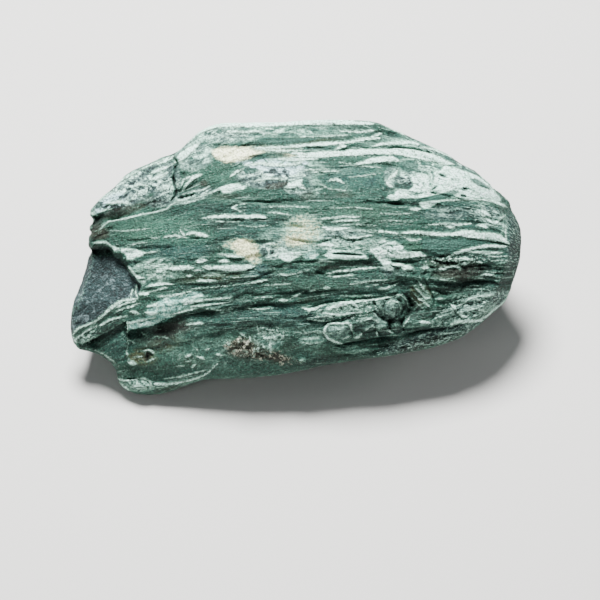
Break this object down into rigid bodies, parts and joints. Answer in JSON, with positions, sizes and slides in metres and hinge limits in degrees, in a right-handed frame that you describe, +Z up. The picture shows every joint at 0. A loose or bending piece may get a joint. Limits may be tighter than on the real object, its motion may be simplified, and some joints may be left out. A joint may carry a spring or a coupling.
{
  "type": "raw serpentine boulder",
  "caption": "Raw green serpentine boulder: a wedge of foliated rock with a broken, ledged face that slopes up to a straight crest, resting on a flat fracture.",
  "frame": {"origin": "centre of the bounding box on the ground plane", "axes": "+X along the stone's length to the right of someone who faces its broken face, +Y to the back, +Z up"},
  "size_m": [0.5, 0.2658, 0.21],
  "materials": {
    "serpentine_rock": "broken rock, waxy where it split along the foliation"
  },
  "bodies": {
    "root": {"serpentine_stone": "serpentine_rock"}
  },
  "joints": []
}
